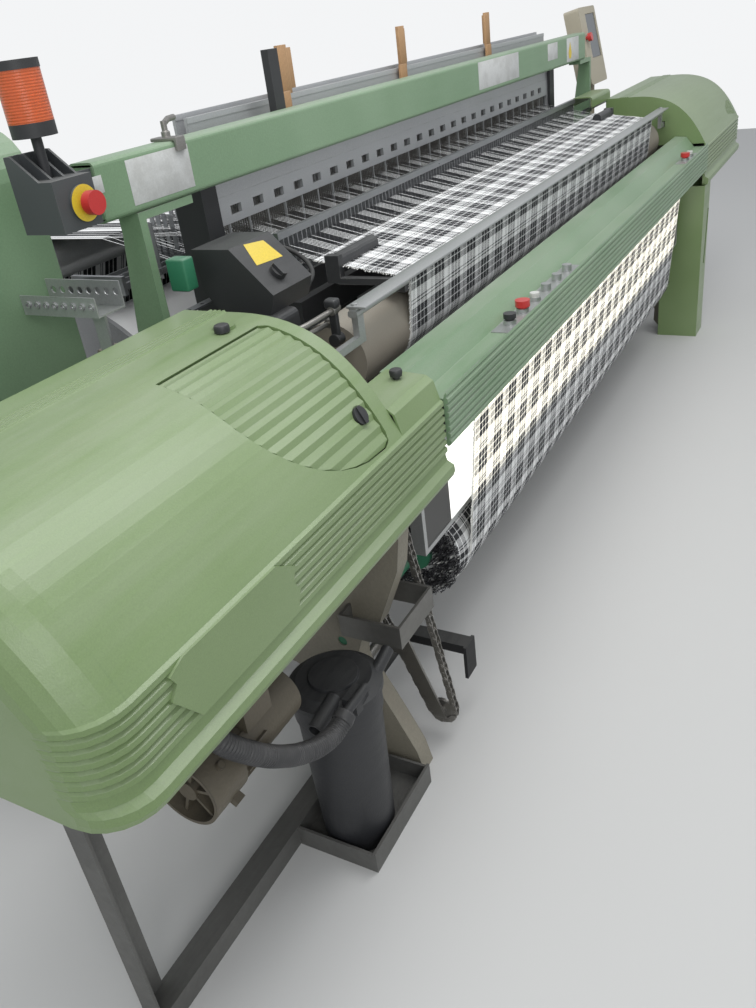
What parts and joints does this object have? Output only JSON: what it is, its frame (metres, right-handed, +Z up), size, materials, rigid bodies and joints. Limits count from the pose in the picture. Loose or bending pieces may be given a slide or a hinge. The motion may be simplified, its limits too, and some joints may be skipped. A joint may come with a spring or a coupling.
{
  "type": "power loom",
  "caption": "Wide rapier power loom with ribbed end covers, heald frames, reed, let-off, take-up and a hanging plaid cloth sheet wound on its roll.",
  "frame": {"origin": "centre of the bounding box on the floor", "axes": "+X along the loom to the weaver's right, +Y from the weaver's side to the warp beam, +Z up"},
  "size_m": [4.79, 1.6569, 1.532],
  "materials": {
    "cream_casting": "old cream enamel on castings, oily and chipped",
    "dark_steel": "dark semi-matte paint with oil film",
    "galvanised": "dull zinc-plated steel",
    "mint_paint": "mint green enamel, satin",
    "green_moulding": "moulded olive-green cover, satin with dust",
    "rail_paint": "mint green enamel, worn along the ridge",
    "black_plastic": "matte black plastic",
    "plate_steel": "bare steel plate, dull",
    "red_plastic": "red push-button plastic",
    "white_plastic": "white push-button plastic",
    "heald_alloy": "anodised aluminium profile",
    "reed_steel": "fine polished steel dents",
    "grip_cover": "grey-brown grit-faced roller cover",
    "black_rubber": "black rubber",
    "woven_cloth": "plaid woven cotton, matte",
    "warp_yarn": "sized warp yarn in coloured bands",
    "green_tube": "green cloth-roll tube",
    "chain_steel": "oiled roller chain",
    "lit_diffuser": "lit white diffuser",
    "beam_alloy": "cast aluminium beam discs",
    "tape_laminate": "carbon and glass laminate tape with a steel gripper",
    "orange_lens": "translucent orange lens",
    "grey_box": "grey-blue plastic housing",
    "canister_plastic": "dark grey moulded canister",
    "grey_hose": "grey corrugated hose",
    "beige_plastic": "beige moulded terminal"
  },
  "bodies": {
    "root": {"left_side_frame": "cream_casting", "right_side_frame": "cream_casting", "cross_beams": "dark_steel", "floor_frame": "galvanised", "left_gear_case": "cream_casting", "dobby_housing": "mint_paint", "left_cover": "green_moulding", "left_end_cap": "green_moulding", "front_rail": "rail_paint", "right_cover": "green_moulding", "right_leg": "green_moulding", "button_plates": "plate_steel", "top_beam": "mint_paint", "frame_guides": "black_plastic", "breast_bar": "plate_steel", "cloth": "woven_cloth", "warp_sheet": "warp_yarn", "drive_chain": "chain_steel", "light_box": "plate_steel", "light_panel": "lit_diffuser", "drop_wires": "reed_steel", "temples": "dark_steel", "selector_box": "black_plastic", "weft_guide": "plate_steel", "lamp_base": "black_plastic", "lamp_lens": "orange_lens", "estop_box": "grey_box", "canister": "canister_plastic", "canister_hose": "grey_hose", "drive_motor": "cream_casting", "steel_bracket": "galvanised", "terminal": "beige_plastic"},
    "lid": {"cover_lid": "green_moulding"},
    "lid_latch": {"lid_knob": "black_plastic"},
    "stop_left": {"stop_button_left": "red_plastic"},
    "start_left": {"start_button_left": "black_plastic"},
    "jog_left": {"jog_button_left": "white_plastic"},
    "stop_right": {"stop_button_right": "red_plastic"},
    "start_right": {"start_button_right": "white_plastic"},
    "frame_1": {"heald_frame_1": "heald_alloy"},
    "frame_2": {"heald_frame_2": "heald_alloy"},
    "frame_3": {"heald_frame_3": "heald_alloy"},
    "frame_4": {"heald_frame_4": "heald_alloy"},
    "sley": {"sley": "dark_steel", "reed": "reed_steel"},
    "take_up": {"take_up_roller": "grip_cover"},
    "press": {"press_roller": "black_rubber"},
    "cloth_beam": {"cloth_roll": "woven_cloth", "roll_core": "green_tube"},
    "warp_beam": {"warp_beam": "beam_alloy", "warp_winding": "warp_yarn"},
    "back_rest": {"back_rest": "plate_steel"},
    "left_wheel": {"left_tape_wheel": "dark_steel"},
    "right_wheel": {"right_tape_wheel": "dark_steel"},
    "left_rapier": {"left_rapier": "tape_laminate"},
    "right_rapier": {"right_rapier": "tape_laminate"},
    "selector": {"selector_knob": "black_plastic"},
    "estop": {"estop_button": "red_plastic"},
    "terminal_button": {"terminal_stop": "red_plastic"},
    "treadle": {"treadle": "black_rubber"}
  },
  "joints": [
    {"name": "lid_hinge", "type": "hinge", "parent": "root", "child": "lid", "pos_m": [-1.764, -0.5535, 1.08], "axis": [-1, 0, 0], "range_deg": [0, 75]},
    {"name": "lid_latch_turn", "type": "hinge", "parent": "lid", "child": "lid_latch", "pos_m": [-1.654, -0.77166, 0.93265], "axis": [0, -0.8721, 0.4894], "range_deg": [0, 90]},
    {"name": "stop_left_push", "type": "slide", "parent": "root", "child": "stop_left", "axis": [0, 0, -1], "range_m": [0, 0.0037], "stiffness_N_per_m": 300, "springref_m": -0.004},
    {"name": "start_left_push", "type": "slide", "parent": "root", "child": "start_left", "axis": [0, 0, -1], "range_m": [0, 0.0037], "stiffness_N_per_m": 300, "springref_m": -0.004},
    {"name": "jog_left_push", "type": "slide", "parent": "root", "child": "jog_left", "axis": [0, 0, -1], "range_m": [0, 0.0037], "stiffness_N_per_m": 300, "springref_m": -0.004},
    {"name": "stop_right_push", "type": "slide", "parent": "root", "child": "stop_right", "axis": [0, 0, -1], "range_m": [0, 0.0037], "stiffness_N_per_m": 300, "springref_m": -0.004},
    {"name": "start_right_push", "type": "slide", "parent": "root", "child": "start_right", "axis": [0, 0, -1], "range_m": [0, 0.0037], "stiffness_N_per_m": 300, "springref_m": -0.004},
    {"name": "frame_1_lift", "type": "slide", "parent": "root", "child": "frame_1", "axis": [0, 0, 1], "range_m": [0, 0.10656]},
    {"name": "frame_2_lift", "type": "slide", "parent": "root", "child": "frame_2", "axis": [0, 0, 1], "range_m": [-0.11424, 0]},
    {"name": "frame_3_lift", "type": "slide", "parent": "root", "child": "frame_3", "axis": [0, 0, 1], "range_m": [0, 0.12192]},
    {"name": "frame_4_lift", "type": "slide", "parent": "root", "child": "frame_4", "axis": [0, 0, 1], "range_m": [-0.1296, 0]},
    {"name": "sley_rock", "type": "hinge", "parent": "root", "child": "sley", "pos_m": [0, -0.3315, 0.52], "axis": [-1, 0, 0], "range_deg": [-9.4, 0]},
    {"name": "warp_beam_turn", "type": "hinge", "parent": "root", "child": "warp_beam", "pos_m": [0, 0.4285, 0.56], "axis": [1, 0, 0], "continuous": true},
    {"name": "back_rest_turn", "type": "hinge", "parent": "root", "child": "back_rest", "pos_m": [0, 0.5085, 1.047], "axis": [1, 0, 0], "continuous": true},
    {"name": "take_up_turn", "type": "hinge", "parent": "root", "child": "take_up", "pos_m": [0, -0.5395, 0.906], "axis": [1, 0, 0], "continuous": true},
    {"name": "press_turn", "type": "hinge", "parent": "root", "child": "press", "pos_m": [0, -0.4432, 0.83474], "axis": [1, 0, 0], "continuous": true},
    {"name": "cloth_beam_turn", "type": "hinge", "parent": "root", "child": "cloth_beam", "pos_m": [0, -0.5985, 0.34], "axis": [1, 0, 0], "continuous": true},
    {"name": "left_wheel_turn", "type": "hinge", "parent": "root", "child": "left_wheel", "pos_m": [-2.08, -0.3325, 0.821], "axis": [0, 1, 0], "range_deg": [0, 270]},
    {"name": "right_wheel_turn", "type": "hinge", "parent": "root", "child": "right_wheel", "pos_m": [2.08, -0.3325, 0.821], "axis": [0, -1, 0], "range_deg": [0, 271]},
    {"name": "left_rapier_slide", "type": "slide", "parent": "root", "child": "left_rapier", "axis": [1, 0, 0], "range_m": [0, 1.14]},
    {"name": "right_rapier_slide", "type": "slide", "parent": "root", "child": "right_rapier", "axis": [-1, 0, 0], "range_m": [0, 1.14]},
    {"name": "selector_turn", "type": "hinge", "parent": "root", "child": "selector", "pos_m": [-1.435, -0.4875, 1.112], "axis": [0, -0.7071, 0.7071], "range_deg": [-60, 60]},
    {"name": "estop_push", "type": "slide", "parent": "root", "child": "estop", "axis": [0, 1, 0], "range_m": [0, 0.005], "stiffness_N_per_m": 500, "springref_m": -0.004},
    {"name": "terminal_stop_push", "type": "slide", "parent": "root", "child": "terminal_button", "axis": [0, 0.9781, -0.2079], "range_m": [0, 0.005], "stiffness_N_per_m": 500, "springref_m": -0.004},
    {"name": "treadle_press", "type": "hinge", "parent": "root", "child": "treadle", "pos_m": [-1.358, -0.6365, 0.205], "axis": [1, 0, 0], "range_deg": [0, 12], "stiffness_Nm_per_rad": 60, "springref_deg": -6.88}
  ],
  "couplings": [
    {"joint": "back_rest_turn", "follows": "warp_beam_turn", "ratio": 4.9474},
    {"joint": "take_up_turn", "follows": "warp_beam_turn", "ratio": 3.7182},
    {"joint": "press_turn", "follows": "warp_beam_turn", "ratio": -7.7326},
    {"joint": "cloth_beam_turn", "follows": "warp_beam_turn", "ratio": 2.3704},
    {"joint": "right_wheel_turn", "follows": "left_wheel_turn", "ratio": 1},
    {"joint": "left_rapier_slide", "follows": "left_wheel_turn", "m_per_rad": 0.24},
    {"joint": "right_rapier_slide", "follows": "left_wheel_turn", "m_per_rad": 0.24}
  ]
}
